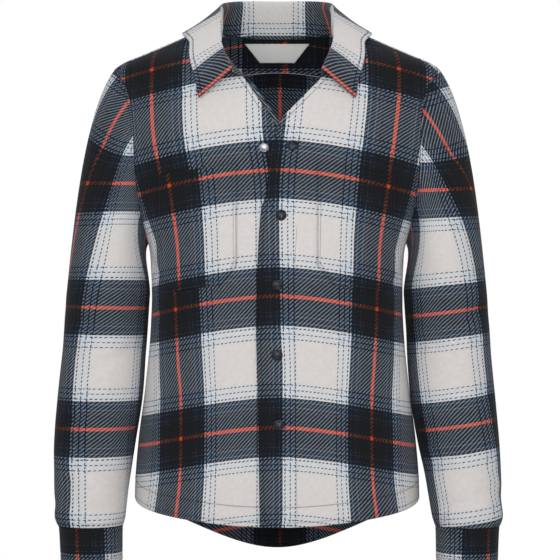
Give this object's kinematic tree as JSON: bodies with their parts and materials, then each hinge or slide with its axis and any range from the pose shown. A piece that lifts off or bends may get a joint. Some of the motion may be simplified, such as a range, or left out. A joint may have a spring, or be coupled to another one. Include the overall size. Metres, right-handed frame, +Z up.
{
  "type": "shacket",
  "caption": "Plaid flannel shirt-jacket with a pointed fold-over collar, snap front worn open at the neck, patch chest pockets, cuffed sleeves and a curved shirt-tail hem.",
  "frame": {"origin": "base of the neck, midway between the shoulders, where the wearer holds the garment up", "axes": "+Z up along the body, the front faces -Y, the wearer's left is +X"},
  "size_m": [0.6205, 0.288, 0.793],
  "materials": {
    "plaid_cloth": "matt brushed twill, woven check",
    "label_weave": "smooth woven tape, bare",
    "snap_gunmetal": "dark gunmetal, satin",
    "snap_nickel": "bright nickel"
  },
  "bodies": {
    "root": {"back": "plaid_cloth", "yoke": "plaid_cloth", "front_left": "plaid_cloth", "front_right": "plaid_cloth", "collar": "plaid_cloth", "sleeve_left": "plaid_cloth", "sleeve_right": "plaid_cloth", "cuff_left": "plaid_cloth", "cuff_right": "plaid_cloth", "pocket_left": "plaid_cloth", "pocket_right": "plaid_cloth", "facing_right": "plaid_cloth", "neck_label": "label_weave", "snap_cap_1": "snap_gunmetal", "snap_cap_2": "snap_gunmetal", "snap_cap_3": "snap_gunmetal", "snap_cap_4": "snap_gunmetal", "snap_cap_5": "snap_gunmetal", "snap_stud": "snap_nickel"}
  },
  "joints": []
}
